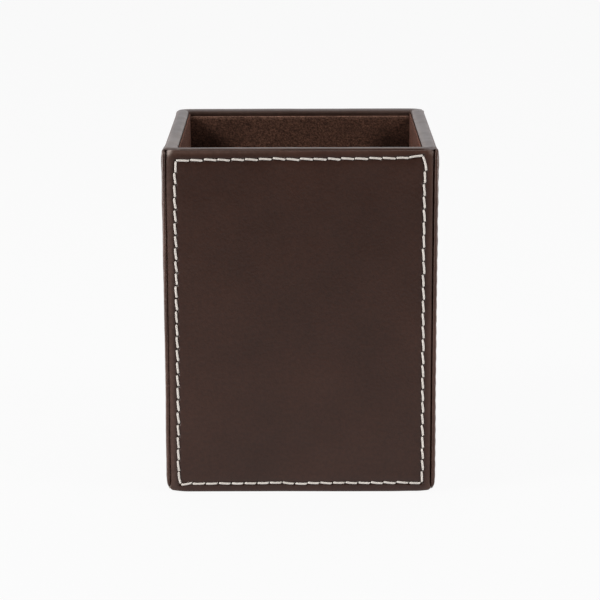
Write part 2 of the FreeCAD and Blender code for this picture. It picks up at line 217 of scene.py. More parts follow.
def leather(name, base, dark, light, grain=1.0, seed=0.0, rough=(0.40, 0.52), specular=0.42,
            wear_highlight_tint=(1.80, 2.30, 2.70)):
    """Smooth finished leather: fine pebble grain, faint pores, slow mottling, with wear and painted highlights,
    painted glints and painted seam shade laid on from attributes.
    """
    mat, tree, nodes, shader = new_material(name)
    link = tree.links.new
    place = node(tree, "ShaderNodeTexCoord")
    shift = node(tree, "ShaderNodeMapping")
    shift.inputs["Location"].default_value = (seed, seed * 0.7, -seed)
    link(place.outputs["Object"], shift.inputs["Vector"])
    at = shift.outputs["Vector"]

    broad = node(tree, "ShaderNodeTexNoise", Scale=45.0, Detail=4.0, Roughness=0.55)
    link(at, broad.inputs["Vector"])
    fine = node(tree, "ShaderNodeTexNoise", Scale=900.0, Detail=5.0, Roughness=0.6)
    link(at, fine.inputs["Vector"])
    pebble = node(tree, "ShaderNodeTexVoronoi", Scale=1500.0, Randomness=1.0)
    pebble.feature = "SMOOTH_F1"
    pebble.inputs["Smoothness"].default_value = 0.6
    link(at, pebble.inputs["Vector"])
    pores = node(tree, "ShaderNodeTexVoronoi", Scale=620.0, Randomness=1.0)
    pores.feature = "F1"
    link(at, pores.inputs["Vector"])

    mottled = ramp(tree, broad.outputs["Fac"], ((0.30, dark), (0.52, base), (0.75, light)))
    speck = ramp(tree, fine.outputs["Fac"], ((0.35, (0.86, 0.86, 0.86)), (0.65, (1.10, 1.10, 1.10))))
    colour = mix_colour(tree, 1.0, mottled, speck, "MULTIPLY")
    pit = ramp(tree, pores.outputs["Distance"], ((0.0, (0.72, 0.70, 0.68)), (0.10, (1.0, 1.0, 1.0))))
    colour = mix_colour(tree, 0.6, colour, mix_colour(tree, 1.0, colour, pit, "MULTIPLY"))
    # painted highlight, with some real wear: the edge attribute lightens the colour toward the tint, broken up by
    # slow noise
    wear_highlight_attr = node(tree, "ShaderNodeAttribute")
    wear_highlight_attr.attribute_name = "wear_and_highlight"
    edge_band = node(tree, "ShaderNodeMath", _operation="MULTIPLY")
    link(wear_highlight_attr.outputs["Fac"], edge_band.inputs[0])
    link(broad.outputs["Fac"], edge_band.inputs[1])
    colour = mix_colour(tree, edge_band.outputs[0], colour,
                        mix_colour(tree, 1.0, colour, wear_highlight_tint, "MULTIPLY"))
    # painted glint: mixes in a pale grey-brown where the glint attribute is set, broken up by fine noise
    scuffed = node(tree, "ShaderNodeAttribute")
    scuffed.attribute_name = "scuff"
    glint_breakup = ramp(tree, fine.outputs["Fac"], ((0.36, (0.55, 0.55, 0.55)), (0.60, (1.0, 1.0, 1.0))))
    scuffing = node(tree, "ShaderNodeMath", _operation="MULTIPLY")
    link(scuffed.outputs["Fac"], scuffing.inputs[0])
    link(glint_breakup, scuffing.inputs[1])
    colour = mix_colour(tree, scuffing.outputs[0], colour, (0.390, 0.315, 0.280))
    # painted shade: darker along the sewn furrows, from the seam attribute
    sewn = node(tree, "ShaderNodeAttribute")
    sewn.attribute_name = "seam_painted_shade"
    colour = mix_colour(tree, sewn.outputs["Fac"], colour,
                        mix_colour(tree, 1.0, colour, (0.80, 0.78, 0.76), "MULTIPLY"))
    link(colour, shader.inputs["Base Color"])

    rough_noise = node(tree, "ShaderNodeTexNoise", Scale=160.0, Detail=3.0)
    link(at, rough_noise.inputs["Vector"])
    spread = node(tree, "ShaderNodeMapRange")
    spread.inputs["From Min"].default_value = 0.3
    spread.inputs["From Max"].default_value = 0.7
    spread.inputs["To Min"].default_value = rough[0]
    spread.inputs["To Max"].default_value = rough[1]
    link(rough_noise.outputs["Fac"], spread.inputs["Value"])
    link(spread.outputs["Result"], shader.inputs["Roughness"])
    shader.inputs["Specular IOR Level"].default_value = specular

    bump_a = node(tree, "ShaderNodeBump", Strength=0.55 * grain, Distance=0.00006)
    link(pebble.outputs["Distance"], bump_a.inputs["Height"])
    bump_b = node(tree, "ShaderNodeBump", Strength=0.45 * grain, Distance=0.00009)
    link(fine.outputs["Fac"], bump_b.inputs["Height"])
    link(bump_a.outputs["Normal"], bump_b.inputs["Normal"])
    bump_c = node(tree, "ShaderNodeBump", Strength=0.35, Distance=0.0006)
    link(broad.outputs["Fac"], bump_c.inputs["Height"])
    link(bump_b.outputs["Normal"], bump_c.inputs["Normal"])
    link(bump_c.outputs["Normal"], shader.inputs["Normal"])
    return mat


def velour(name, base, dark, light, sheen=0.5, tint=(0.9, 0.62, 0.48), seed=0.0, edge_light=None, corner_shade_tint=None):
    """Short-napped velour: fibres as fine noise, patches of brushing, soft sheen, and painted corner shade."""
    mat, tree, nodes, shader = new_material(name)
    link = tree.links.new
    place = node(tree, "ShaderNodeTexCoord")
    shift = node(tree, "ShaderNodeMapping")
    shift.inputs["Location"].default_value = (seed, -seed, seed * 0.4)
    link(place.outputs["Object"], shift.inputs["Vector"])
    at = shift.outputs["Vector"]
    patch = node(tree, "ShaderNodeTexNoise", Scale=70.0, Detail=3.0, Roughness=0.5, Distortion=0.4)
    link(at, patch.inputs["Vector"])
    fibre = node(tree, "ShaderNodeTexNoise", Scale=2100.0, Detail=4.0, Roughness=0.7)
    link(at, fibre.inputs["Vector"])
    tuft = node(tree, "ShaderNodeTexNoise", Scale=1300.0, Detail=3.0, Roughness=0.65)
    grain_way = node(tree, "ShaderNodeMapping")
    grain_way.inputs["Scale"].default_value = (0.55, 0.55, 1.0)
    link(at, grain_way.inputs["Vector"])
    link(grain_way.outputs["Vector"], tuft.inputs["Vector"])
    body = ramp(tree, patch.outputs["Fac"], ((0.32, dark), (0.5, base), (0.70, light)))
    nap = ramp(tree, fibre.outputs["Fac"], ((0.34, (0.40, 0.38, 0.36)), (0.5, (1.0, 1.0, 1.0)), (0.67, (1.8, 1.72, 1.62))))
    clump = ramp(tree, tuft.outputs["Fac"], ((0.32, (0.72, 0.72, 0.72)), (0.66, (1.25, 1.22, 1.2))))
    colour = mix_colour(tree, 1.0, body, nap, "MULTIPLY")
    colour = mix_colour(tree, 1.0, colour, clump, "MULTIPLY")
    if edge_light:
        # the cut edge of the nap along the top catches more light
        split = node(tree, "ShaderNodeSeparateXYZ")
        link(place.outputs["Object"], split.inputs["Vector"])
        band = node(tree, "ShaderNodeMapRange")
        band.interpolation_type = "SMOOTHSTEP"
        band.inputs["From Min"].default_value = edge_light[0] * MM
        band.inputs["From Max"].default_value = edge_light[1] * MM
        link(split.outputs["Z"], band.inputs["Value"])
        lit = mix_colour(tree, 1.0, colour, edge_light[2], "MULTIPLY")
        colour = mix_colour(tree, band.outputs["Result"], colour, lit)
    if corner_shade_tint:
        # painted shade: darker toward the upright corners, where the walls shade the lining
        corner_shade = node(tree, "ShaderNodeAttribute")
        corner_shade.attribute_name = "painted_corner_shade"
        colour = mix_colour(tree, corner_shade.outputs["Fac"], colour, mix_colour(tree, 1.0, colour, corner_shade_tint, "MULTIPLY"))
    link(colour, shader.inputs["Base Color"])
    wear = node(tree, "ShaderNodeMapRange")
    wear.inputs["To Min"].default_value = 0.82
    wear.inputs["To Max"].default_value = 1.0
    link(patch.outputs["Fac"], wear.inputs["Value"])
    link(wear.outputs["Result"], shader.inputs["Roughness"])
    shader.inputs["Specular IOR Level"].default_value = 0.12
    shader.inputs["Sheen Weight"].default_value = sheen
    shader.inputs["Sheen Roughness"].default_value = 0.45
    shader.inputs["Sheen Tint"].default_value = (*tint, 1.0)
    bump_a = node(tree, "ShaderNodeBump", Strength=0.8, Distance=0.0002)
    link(fibre.outputs["Fac"], bump_a.inputs["Height"])
    bump_b = node(tree, "ShaderNodeBump", Strength=0.6, Distance=0.0005)
    link(tuft.outputs["Fac"], bump_b.inputs["Height"])
    link(bump_a.outputs["Normal"], bump_b.inputs["Normal"])
    link(bump_b.outputs["Normal"], shader.inputs["Normal"])
    return mat


def thread_material():
    """Waxed, twisted polyester thread, off-white."""
    mat, tree, nodes, shader = new_material("cream_thread")
    link = tree.links.new
    place = node(tree, "ShaderNodeTexCoord")
    slub = node(tree, "ShaderNodeTexNoise", Scale=260.0, Detail=3.0)
    link(place.outputs["Object"], slub.inputs["Vector"])
    fibre = node(tree, "ShaderNodeTexNoise", Scale=5200.0, Detail=3.0, Roughness=0.7)
    link(place.outputs["Object"], fibre.inputs["Vector"])
    base = ramp(tree, slub.outputs["Fac"], ((0.3, (0.63, 0.575, 0.525)), (0.7, (0.71, 0.660, 0.615))))
    fine = ramp(tree, fibre.outputs["Fac"], ((0.3, (0.88, 0.87, 0.86)), (0.65, (1.04, 1.04, 1.04))))
    link(mix_colour(tree, 1.0, base, fine, "MULTIPLY"), shader.inputs["Base Color"])
    wax = node(tree, "ShaderNodeMapRange")
    wax.inputs["To Min"].default_value = 0.45
    wax.inputs["To Max"].default_value = 0.7
    link(slub.outputs["Fac"], wax.inputs["Value"])
    link(wax.outputs["Result"], shader.inputs["Roughness"])
    shader.inputs["Sheen Weight"].default_value = 0.25
    shader.inputs["Subsurface Weight"].default_value = 0.0
    bump = node(tree, "ShaderNodeBump", Strength=0.5, Distance=0.00005)
    link(fibre.outputs["Fac"], bump.inputs["Height"])
    link(bump.outputs["Normal"], shader.inputs["Normal"])
    return mat


def board_material(name, pale, dark, fleck):
    """Pressed paper board: grey, flecked, slightly fibrous."""
    mat, tree, nodes, shader = new_material(name)
    link = tree.links.new
    place = node(tree, "ShaderNodeTexCoord")
    cloud = node(tree, "ShaderNodeTexNoise", Scale=120.0, Detail=5.0, Roughness=0.65)
    link(place.outputs["Object"], cloud.inputs["Vector"])
    stretch = node(tree, "ShaderNodeMapping")
    stretch.inputs["Scale"].default_value = (1.0, 1.0, 0.18)
    link(place.outputs["Object"], stretch.inputs["Vector"])
    fibres = node(tree, "ShaderNodeTexNoise", Scale=1500.0, Detail=4.0, Roughness=0.7)
    link(stretch.outputs["Vector"], fibres.inputs["Vector"])
    tone = ramp(tree, cloud.outputs["Fac"], ((0.35, dark), (0.65, pale)))
    mark = ramp(tree, fibres.outputs["Fac"], ((0.30, fleck), (0.42, (1.0, 1.0, 1.0))))
    link(mix_colour(tree, 1.0, tone, mark, "MULTIPLY"), shader.inputs["Base Color"])
    matt = node(tree, "ShaderNodeMapRange")
    matt.inputs["To Min"].default_value = 0.8
    matt.inputs["To Max"].default_value = 0.98
    link(cloud.outputs["Fac"], matt.inputs["Value"])
    link(matt.outputs["Result"], shader.inputs["Roughness"])
    bump = node(tree, "ShaderNodeBump", Strength=0.4, Distance=0.00008)
    link(fibres.outputs["Fac"], bump.inputs["Height"])
    link(bump.outputs["Normal"], shader.inputs["Normal"])
    return mat


BROWN = (0.0372, 0.0133, 0.0077)
BROWN_DARK = (0.0315, 0.0111, 0.0063)
BROWN_LIGHT = (0.0435, 0.0160, 0.0095)
PANEL_MAT = leather("panel_leather", BROWN, BROWN_DARK, BROWN_LIGHT, specular=0.31, rough=(0.38, 0.48), grain=1.35)
# the cover leather's tint for its painted highlights is greyer
RIM_MAT = leather("cover_leather", BROWN, BROWN_DARK, BROWN_LIGHT, grain=0.4, seed=0.31,
                  rough=(0.34, 0.42), specular=0.42, wear_highlight_tint=(2.5, 4.3, 5.8))
THREAD_MAT = thread_material()
# one velour in two copies as painted light and shade: brighter for the front and back walls, darker for the side
# walls
LINING_MAT = velour("lining_velour", (0.096, 0.0475, 0.0325), (0.085, 0.0415, 0.0282), (0.108, 0.0540, 0.0372),
                    sheen=0.20, tint=(0.85, 0.60, 0.48), edge_light=(100.7, 102.3, (2.0, 2.25, 2.45)), corner_shade_tint=(0.40, 0.38, 0.38))
SIDE_LINING_SHADED_MAT = velour("side_lining_velour_painted_shade", (0.0930, 0.0335, 0.0213), (0.0824, 0.0296, 0.0186), (0.1048, 0.0383, 0.0245),
                         sheen=0.16, tint=(0.85, 0.60, 0.48), seed=0.23, corner_shade_tint=(0.40, 0.38, 0.38))
FLOOR_MAT = velour("lining_floor_velour", (0.074, 0.0330, 0.0215), (0.055, 0.0235, 0.0150), (0.094, 0.044, 0.030),
                   sheen=0.20, tint=(0.85, 0.52, 0.38), seed=0.5)
BASE_MAT = velour("base_velour", (0.020, 0.0105, 0.0080), (0.014, 0.0075, 0.006), (0.028, 0.015, 0.011),
                  sheen=0.25, tint=(0.7, 0.5, 0.42), seed=0.9)
BOARD_MAT = board_material("grey_board", (0.30, 0.27, 0.23), (0.22, 0.20, 0.17), (0.55, 0.52, 0.5))
CARD_MAT = board_material("card_board", (0.46, 0.40, 0.31), (0.36, 0.31, 0.24), (0.7, 0.66, 0.6))

# --------------------------------------------------------- stitched panels
# Needle holes of a panel: places along the upper, right, lower and left seam.
random.seed(41)


def even_holes(a, b, count, jitter, seed):
    rng = random.Random(seed)
    step = (b - a) / count
    return [a] + [a + step * i + rng.uniform(-jitter, jitter) for i in range(1, count)] + [b]


# The stitches of the front, (u, z) of one end and of the other, along the upper, right, lower and left seam.
FRONT_STITCHES = (
    ((-36.05, 100.64, -31.85, 100.51), (-32.04, 100.83, -28.01, 100.47), (-28.02, 100.97, -23.91, 100.63),
     (-24.20, 100.93, -20.09, 100.53), (-20.05, 100.97, -16.01, 100.62), (-16.16, 100.98, -11.97, 100.63),
     (-12.12, 101.06, -8.05, 100.85), (-8.13, 101.25, -4.04, 100.75), (-4.19, 101.06, 0.03, 100.59),
     (-0.29, 101.12, 4.01, 100.73), (3.66, 101.04, 7.87, 100.72), (7.75, 101.14, 11.89, 100.68),
     (11.66, 101.15, 15.87, 100.84), (15.64, 101.12, 19.82, 100.85), (19.73, 101.27, 23.81, 100.92),
     (23.59, 101.26, 27.84, 100.98), (27.57, 101.21, 31.66, 101.12), (31.23, 101.30, 35.60, 101.90)),
    ((35.30, 101.92, 36.47, 97.14), (35.95, 97.50, 36.09, 93.53), (35.72, 93.73, 36.09, 89.74),
     (35.71, 90.08, 36.16, 86.10), (35.78, 86.24, 36.20, 82.15), (35.81, 82.49, 36.06, 78.26),
     (35.76, 78.56, 36.08, 74.44), (35.62, 74.59, 36.03, 70.53), (35.79, 70.75, 36.22, 66.57),
     (35.66, 66.84, 36.04, 62.77), (35.74, 62.97, 36.22, 58.84), (35.75, 59.06, 36.14, 55.00),
     (35.72, 55.27, 36.15, 51.07), (35.75, 51.35, 36.22, 47.20), (35.83, 47.35, 36.23, 43.26),
     (35.71, 43.48, 36.25, 39.30), (35.78, 39.52, 36.23, 35.36), (35.75, 35.68, 36.22, 31.78),
     (35.79, 31.90, 36.21, 27.97), (35.84, 28.27, 36.26, 24.47), (35.83, 24.64, 36.24, 20.90),
     (35.74, 21.17, 36.31, 17.29), (35.94, 17.52, 36.31, 13.57), (35.88, 13.88, 36.34, 10.10),
     (35.91, 10.35, 36.37, 6.60), (35.90, 6.81, 36.10, 2.95)),
    ((-35.95, 2.60, -32.35, 3.23), (-32.62, 2.93, -28.51, 2.98), (-28.60, 2.92, -24.70, 3.02),
     (-24.76, 3.13, -20.81, 2.90), (-20.89, 3.02, -16.97, 2.94), (-17.02, 3.08, -13.18, 2.95),
     (-13.20, 3.10, -9.34, 3.12), (-9.55, 3.22, -5.57, 3.15), (-5.66, 3.29, -1.87, 2.84),
     (-1.89, 2.93, 2.02, 2.77), (1.78, 3.17, 5.73, 2.99), (5.58, 3.22, 9.44, 2.87), (9.33, 3.16, 13.25, 3.10),
     (13.13, 3.24, 17.01, 2.96), (16.95, 3.18, 20.82, 2.94), (20.63, 3.27, 24.67, 2.90),
     (24.46, 3.34, 28.52, 2.90), (28.36, 3.36, 32.30, 2.98), (32.10, 3.06, 35.90, 2.93)),
    ((-35.95, 100.66, -36.05, 96.89), (-36.48, 97.25, -36.02, 93.43), (-36.51, 93.61, -36.26, 89.67),
     (-36.60, 89.88, -36.07, 86.17), (-36.57, 86.17, -36.07, 82.32), (-36.58, 82.42, -36.17, 78.55),
     (-36.50, 78.54, -35.97, 74.80), (-36.57, 74.95, -36.08, 71.01), (-36.53, 71.07, -35.99, 67.31),
     (-36.45, 67.38, -36.06, 63.53), (-36.59, 63.58, -36.20, 59.65), (-36.57, 59.69, -36.07, 55.88),
     (-36.56, 56.01, -36.21, 52.10), (-36.53, 52.03, -36.12, 48.22), (-36.53, 48.32, -36.09, 44.39),
     (-36.52, 44.39, -36.01, 40.46), (-36.51, 40.51, -36.11, 36.70), (-36.52, 36.68, -36.06, 32.80),
     (-36.47, 32.80, -36.14, 28.93), (-36.52, 28.96, -36.08, 25.13), (-36.58, 25.21, -36.04, 21.32),
     (-36.55, 21.37, -36.18, 17.58), (-36.62, 17.57, -36.26, 13.67), (-36.60, 13.81, -36.30, 10.05),
     (-36.70, 10.27, -36.28, 6.52), (-36.48, 6.80, -35.85, 2.72)),
)


def seam_of(wall, span):
    """The four seam lines of a panel as lists of needle holes, (u, z), each from its upper or left end."""
    rng = random.Random({"front": 3, "right": 14, "back": 25, "left": 36}[wall])
    side = span - 2.35
    high, low = 100.95, 3.05
    if wall == "front":
        lines = []
        for row in FRONT_STITCHES:
            line = [row[0][:2]]
            line += [((p[2] + q[0]) / 2, (p[3] + q[1]) / 2) for p, q in zip(row, row[1:])]
            lines.append(line + [row[-1][2:]])
        return lines
    nu = int(round(2 * side / 3.95))
    slope = rng.uniform(-0.0035, 0.0035)
    tops = [(u, high + slope * u) for u in even_holes(-side + 0.35, side - 0.35, nu, 0.07, rng.random())]
    lows = [(u, low - slope * u) for u in even_holes(-side + 0.35, side - 0.35, nu + 1, 0.07, rng.random())]
    lefts = [(-side + 0.05 * math.sin(z * 0.05), z)
             for z in even_holes(high - 0.4, low + 0.25, 26, 0.07, rng.random())]
    rights = [(side + 0.05 * math.sin(z * 0.06 + 1), z)
              for z in even_holes(high - 0.4, low + 0.25, 26, 0.07, rng.random())]
    # at the front ends the side panels are sewn in step with the front
    if wall in ("right", "left"):
        row = FRONT_STITCHES[1 if wall == "right" else 3]
        steps = [row[0][1]] + [(p[3] + q[1]) / 2 for p, q in zip(row, row[1:])] + [row[-1][3]]
        steps = [min(max(z, low + 0.25), high - 0.4) for z in steps]
        if wall == "right":
            lefts = [(hole[0], z) for hole, z in zip(lefts, steps)]
        else:
            rights = [(hole[0], z) for hole, z in zip(rights, steps)]
    return tops, rights, lows, lefts


# Unevenness of the hand-turned margins by height: how far the side panels stand out at their front ends, and how
# far the front panel reaches over at its left edge.
STANDS_OUT = {
    "left": ((0, 0.03), (3.6, 0.05), (5.5, 0.17), (9, 0.12), (16, 0.14), (23, 0.10), (29, 0.0), (46, 0.0), (52, 0.05),
             (64, 0.06), (70, 0.14), (77, 0.10), (82, 0.10), (88, 0.16), (94, 0.0), (97, 0.02), (100.4, 0.12),
             (103.4, 0.02)),
    "right": ((0, -0.05), (3.6, -0.05), (6, 0.05), (16, 0.05), (23, 0.02), (29, -0.04), (35, -0.05), (46, 0.0),
              (52, -0.06), (64, -0.03), (70, 0.0), (77, 0.09), (82, -0.01), (88, 0.07), (94, -0.03), (100.4, 0.12),
              (103.4, 0.02)),
}
REACHES_OVER = ((0, 0.24), (4, 0.22), (8, 0.21), (17, 0.27), (29, 0.20), (44, 0.22), (53, 0.22), (62, 0.20), (70.6, 0.14),
                (79.6, 0.15), (88.5, 0.20), (95, 0.15), (99.9, 0.05), (101.1, -0.06), (102.4, -0.28), (103.4, -0.24))
# Edge of a panel from its back, round the turned edge and on to the face: distance in from the outline and
# height of the leather from the face. The foot is rolled further in than the sides and the head. EDGE_END is the
# distance in at the upright ends of the side panels, which butt against the front and back ones.
EDGE_SIDE = ((0.62, -1.20), (0.30, -1.12), (0.12, -1.02), (0.02, -0.90), (0.00, -0.77), (0.04, -0.64),
             (0.12, -0.52), (0.24, -0.42), (0.40, -0.335), (0.62, -0.255), (0.90, -0.175), (1.20, -0.11),
             (1.50, -0.065))
EDGE_END = (0.76, 0.54, 0.35, 0.20, 0.09, 0.02, 0.00, 0.01, 0.045, 0.13, 0.30, 0.60, 1.08)
# how far in the upright edges of the front and back panels are
EDGE_UPRIGHT = (0.62, 0.30, 0.15, 0.08, 0.03, 0.00, 0.00, 0.05, 0.14, 0.29, 0.52, 0.83, 1.20)
EDGE_FOOT_FRONT = ((0.40, -1.20), (0.18, -1.17), (0.06, -1.10), (0.00, -0.99), (0.03, -0.86), (0.13, -0.72),
                   (0.28, -0.59), (0.48, -0.47), (0.74, -0.36), (1.05, -0.265), (1.40, -0.185), (1.72, -0.125),
                   (2.02, -0.080))
EDGE_FOOT_SIDE = ((0.45, -1.20), (0.22, -1.18), (0.08, -1.15), (0.00, -1.09), (0.06, -0.98), (0.20, -0.86),
                  (0.42, -0.73), (0.70, -0.60), (1.02, -0.47), (1.38, -0.35), (1.78, -0.25), (2.20, -0.165),
                  (2.60, -0.100))
ACROSS_SEAM = (1.72, 1.86, 1.98, 2.08, 2.17, 2.26, 2.35, 2.44, 2.53, 2.62, 2.72, 2.84, 3.0, 3.2, 3.55, 4.1, 5.0)
SLIT = 0.30            # half length of a needle slit, which leans over to the right


def seam_share(holes, a, b, axis):
    """Places along a side, 0 to under 1, that gather at the needle holes."""
    places = [a]
    line = [h[axis] for h in holes]
    if (line[-1] - line[0]) * (b - a) < 0:
        line = line[::-1]
    line = [v for v in line if min(a, b) < v < max(a, b)]
    stops = [a] + line + [b]
    out = []
    for p, q in zip(stops, stops[1:]):
        gap = abs(q - p)
        n = max(1, min(12, int(round(gap / 0.33))))
        for i in range(n):
            t = i / n
            t = t - math.sin(2 * math.pi * t) / (2 * math.pi) * 0.45 if n > 6 else t
            out.append((p + (q - p) * t - a) / (b - a))
    return out


def panel(wall, turns):
    front_like = turns % 2 == 0
    span = FRONT_SPAN if front_like else SIDE_SPAN
    tops, rights, lows, lefts = seam_of(wall, span)
    if wall == "front":
        tops, rights, lows, lefts = [[(hu + 0.10, hz) for hu, hz in line] for line in (tops, rights, lows, lefts)]
    front_end = {"right": -1.0, "left": 1.0}.get(wall, 0.0)
    seed = {"front": 1.0, "right": 2.0, "back": 3.0, "left": 4.0}[wall]
    low, high = PANEL_FOOT, PANEL_HEAD
    r_low, r_high = (0.75, 0.8) if front_like else (2.9 if wall == "right" else 3.5, 1.2)
    foot_table = EDGE_FOOT_FRONT if front_like else EDGE_FOOT_SIDE
    rise = foot_table[-1][0] - EDGE_SIDE[-1][0]
    inset = 2.35
    arc = 9
    a, b = -(span - inset), span - inset
    shares = (seam_share(lows, a, b, 0), seam_share(rights, low + 2.85, high - 2.45, 1),
              seam_share(tops, b, a, 0), seam_share(lefts, high - 2.45, low + 2.85, 1), arc)

    stations = [(ds, ws, df, wf, de) for (ds, ws), (df, wf), de
                in zip(EDGE_SIDE, foot_table, EDGE_UPRIGHT if front_like else EDGE_END)]
    for d in ACROSS_SEAM:
        stations.append((d, None, d + rise, None, d))
    verts, rings, outlines = [], [], []
    wear = []
    for ds, ws, df, wf, de in stations:
        rl, rh = max(r_low - 0.55 * (ds + df), 0.55), max(r_high - ds, 0.35)
        pts, nrm = ring(-span + de, span - de, low + df, high - ds, (rl, rl, rh, rh), shares)
        foot = smooth(0.15, 0.95, -nrm[:, 1])
        if ws is None:
            w = np.full(len(pts), float(np.interp(ds, (1.5, 2.0, 3.0), (-0.065, -0.028, 0.0))))
        else:
            w = ws + (wf - ws) * foot
        start = len(verts)
        rings.append(list(range(start, start + len(pts))))
        outlines.append(pts)
        verts.extend((p[0], p[1], h) for p, h in zip(pts, w))
    faces = []
    loft(rings, faces)
    inner, triangles = fill(outlines[-1], 1.7, 1.3)
    start = len(verts)
    verts.extend((p[0], p[1], 0.0) for p in inner)
    n = len(rings[-1])
    last = rings[-1][0]
    for t in triangles:
        faces.append(tuple(last + i if i < n else start + i - n for i in t))
    v = np.array(verts)

    # relief of the face: sewn furrow, needle slits, pulled leather, soft crown
    u, z, w = v[:, 0], v[:, 1], v[:, 2]
    depth_in = np.minimum(np.minimum(span - np.abs(u), high - z), (z - low) * 0.82)
    on_face = smooth(0.45, 1.5, depth_in)
    relief = np.zeros(len(v))
    lines = [np.array(line) for line in (tops, rights, lows, lefts)]
    dist = np.full(len(v), 99.0)
    for line in lines:
        for p, q in zip(line, line[1:]):
            d = q - p
            t = np.clip(((u - p[0]) * d[0] + (z - p[1]) * d[1]) / (d @ d), 0, 1)
            dist = np.minimum(dist, np.hypot(u - p[0] - t * d[0], z - p[1] - t * d[1]))
    relief -= 0.16 * np.exp(-(dist / 0.50) ** 2) + 0.07 * np.exp(-(dist / 1.25) ** 2)
    pit = np.zeros(len(v))
    lip = np.zeros(len(v))
    for number, line in enumerate(lines):
        level = number in (0, 2)
        slit = np.array((0.5, 0.866)) if level else np.array((0.94, 0.34))
        run = np.array((1.0, 0.0)) if level else np.array((0.0, 1.0))
        cross = np.array((0.0, 1.0)) if level else np.array((1.0, 0.0))
        for hu, hz in line:
            du, dz = u - hu, z - hz
            close = du * du + dz * dz < 2.6
            e = np.stack([du[close], dz[close]], 1)
            t = np.clip(e @ slit, -SLIT, SLIT)
            off = e - t[:, None] * slit
            r2 = (off ** 2).sum(1)
            pit[close] = np.maximum(pit[close], 0.34 * np.exp(-r2 / 0.060) + 0.06 * np.exp(-r2 / 0.35))
            along, across = e @ run, e @ cross
            lip[close] = np.maximum(lip[close], 0.055 * np.exp(-((np.abs(across) - 0.62) / 0.2) ** 2
                                                              - (along / 0.42) ** 2))
    relief += lip - pit
    # small puckers that run out from the seam
    relief += 0.030 * waves(u, z, seed, 2.1, 2) * np.exp(-(dist / 1.6) ** 2)
    # the padded margin between the seam and the edge, and slow unevenness of the face
    relief += 0.035 * waves(u, z, seed + 9, 9.0, 2) * smooth(0.6, 2.0, depth_in)
    centre = smooth(2.6, 14.0, depth_in)
    relief += 0.06 * smooth(2.3, 4.2, depth_in) + 0.08 * centre + 0.09 * centre * waves(u, z, seed + 20, 34.0, 2)
    v[:, 2] = w + relief * on_face
    side_in = span - np.abs(u)
    margin = smooth(0.0, 0.7, side_in) * (1.0 - smooth(1.2, 2.3, side_in))
    corner_glint_mask = np.zeros(len(v))
    scuff = np.zeros(len(v))
    if not front_like:
        # the hand-turned margins are uneven, and the front corners stand out a little at the head
        at_front = (u * front_end > 0).astype(float)
        uneven = np.interp(z, *zip(*STANDS_OUT[wall])) * at_front
        v[:, 2] += margin * (0.12 + 0.09 * smooth(82, 95, z) + uneven) * (1.0 - 0.35 * smooth(100.8, 102.5, z))
        # and drawn in at each needle hole
        holes = np.array([z_hole for _, z_hole in (lefts if wall == "right" else rights)])[::-1]
        place_in = np.interp(z, holes, np.arange(len(holes)))
        v[:, 2] -= margin * at_front * (0.04 if wall == "right" else 0.012) * np.cos(2 * np.pi * place_in) \
            * smooth(2.5, 5.0, z) * (1.0 - smooth(99.5, 101.5, z))
        rolled = 1.0 - smooth(3.5, 10.0, side_in)
        head = rolled * at_front * smooth(101.9, 103.25, z) * smooth(-0.97, -0.60, w)
        v[:, 1] += 0.38 * head
        v[:, 2] += 0.02 * head * (1.0 - smooth(1.5, 3.5, side_in))
        foot = (1.0 - smooth(low + 0.4, low + 3.2, z)) * (1.0 - smooth(1.2, 4.2, side_in))
        # painted highlight on the rounded front corner of the left side panel's head
        if wall == "left":
            scuff += 0.35 * at_front * np.exp(-(np.hypot(side_in - 0.3, 1.2 * (v[:, 1] - 102.9)) / 0.6) ** 2)
        v[:, 1] += foot * (0.22 + 0.10 * (1.0 - smooth(-0.95, -0.5, w)))
        # the head leans out
        if wall == "right":
            v[:, 2] += (0.10 + 0.11 * smooth(-36.0, -25.0, u)) * smooth(102.2, 103.3, z) * smooth(-1.0, -0.6, w)
        elif wall == "left":
            v[:, 2] += (0.20 * smooth(24.0, 33.0, u) - 0.12 * smooth(37.6, 39.2, u)) * smooth(102.4, 103.3, z) * smooth(-1.0, -0.6, w)
    else:
        v[:, 2] += 0.05 * margin
        # the lower corners curve up
        start = np.where(u < 0, 33.4, 34.4)
        corner = np.clip((np.abs(u) - start) / (38.7 - start), 0.0, 1.0) ** 2
        near_foot = 1.0 - smooth(low + 0.5, low + 4.0, z)
        v[:, 1] += np.where(u < 0, 0.60, 0.45) * corner * near_foot - 0.09 * smooth(-8.0, 16.0, u) * near_foot
        v[:, 1] += 0.08 * smooth(27.0, 33.5, u) * near_foot
        if wall == "front":
            over = np.interp(z, *zip(*REACHES_OVER)) * (u < 0) * (1.0 - smooth(0.3, 1.9, side_in))
            v[:, 0] -= over
            # the leather gathers at the upper corners
            for sign, drop, lift in ((-1.0, 0.46, 0.12), (1.0, 0.34, 0.10)):
                away = np.hypot(sign * u - 38.75, z - 103.4)
                v[:, 2] -= drop * np.exp(-(away / 1.05) ** 2) * smooth(-1.0, -0.5, w)
                v[:, 1] += lift * smooth(33.5, 37.0, sign * u) * smooth(101.2, 103.3, z) * smooth(-0.90, -0.70, w)
                v[:, 1] += 0.24 * (sign < 0) * smooth(37.2, 38.4, sign * u) * smooth(101.8, 103.3, z) * smooth(-0.90, -0.70, w)
